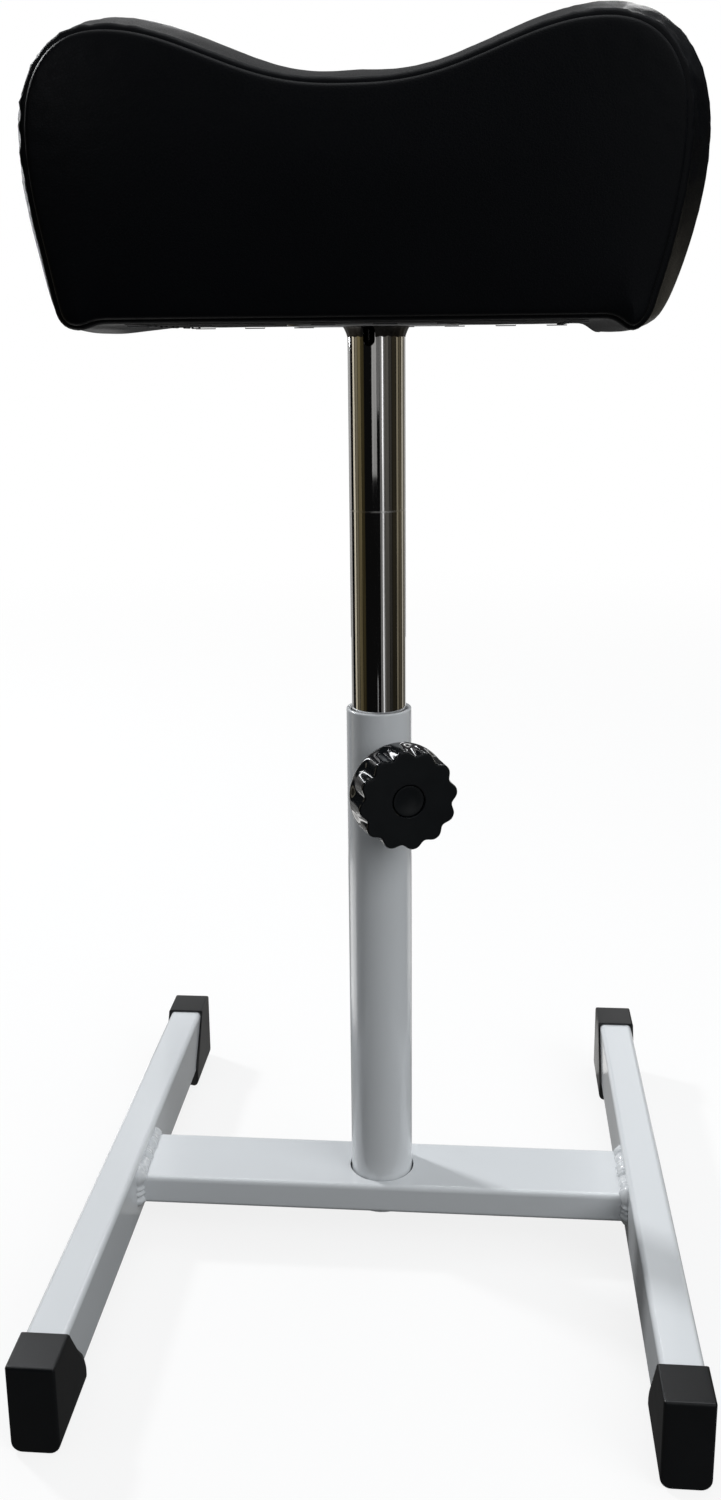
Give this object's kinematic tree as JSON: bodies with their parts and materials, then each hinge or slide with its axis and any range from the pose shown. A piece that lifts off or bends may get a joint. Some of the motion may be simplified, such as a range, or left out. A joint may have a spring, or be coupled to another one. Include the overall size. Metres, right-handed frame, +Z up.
{
  "type": "pedicure footrest",
  "caption": "Height-adjustable footrest: a welded steel H base, a post with a fluted clamp knob, and a saddle-shaped padded cushion on a sliding, swivelling chrome column.",
  "frame": {"origin": "on the floor, under the axis of the post, midway between the runners", "axes": "+Z up, +X to the right along the crossbar, +Y to the back along the runners; the knob is on the -Y side"},
  "size_m": [0.2809, 0.3258, 0.5593],
  "materials": {
    "white_paint": "white powder coat, satin",
    "cap_plastic": "black, fine satin grain",
    "chrome": "polished chrome plating",
    "zinc_steel": "zinc plated",
    "knob_plastic": "black, glossy flutes and a satin face",
    "nylon": "natural nylon",
    "leatherette": "black leatherette, fine grain, low sheen",
    "fleece": "black bonded fibre sheet",
    "plywood": "bare plywood",
    "foam": "open-cell foam"
  },
  "bodies": {
    "base": {"left_runner": "white_paint", "right_runner": "white_paint", "crossbar": "white_paint", "left_weld": "white_paint", "right_weld": "white_paint", "post": "white_paint", "post_weld": "white_paint", "clamp_nut": "white_paint", "nut_weld": "white_paint", "cap_front_left": "cap_plastic", "cap_front_right": "cap_plastic", "cap_back_left": "cap_plastic", "cap_back_right": "cap_plastic"},
    "plug": {"column_plug": "cap_plastic"},
    "upper": {"column": "chrome", "column_weld": "chrome", "mount_plate": "zinc_steel", "plate_screw_1": "zinc_steel", "plate_screw_2": "zinc_steel", "plate_screw_3": "zinc_steel", "plate_screw_4": "zinc_steel", "base_board": "plywood", "foam_core": "foam", "cover_front": "leatherette", "cover_back": "leatherette", "cover_band": "leatherette", "dust_cover": "fleece"},
    "tip": {"clamp_tip": "nylon"},
    "knob": {"knob_grip": "knob_plastic", "knob_cap": "knob_plastic", "clamp_stud": "zinc_steel"}
  },
  "joints": [
    {"name": "column_slide", "type": "slide", "parent": "base", "child": "plug", "axis": [0, 0, 1], "range_m": [-0.155, 0.02]},
    {"name": "column_swivel", "type": "hinge", "parent": "plug", "child": "upper", "pos_m": [0, 0, 0.18], "axis": [0, 0, 1], "continuous": true},
    {"name": "clamp_travel", "type": "slide", "parent": "base", "child": "tip", "axis": [0.3665, -0.9304, 0], "range_m": [0, 0.003]},
    {"name": "knob_turn", "type": "hinge", "parent": "tip", "child": "knob", "pos_m": [0, 0, 0.2378], "axis": [0.3665, -0.9304, 0], "range_deg": [0, 720]}
  ],
  "couplings": [
    {"joint": "clamp_travel", "follows": "knob_turn", "m_per_rad": 0.00023873}
  ]
}
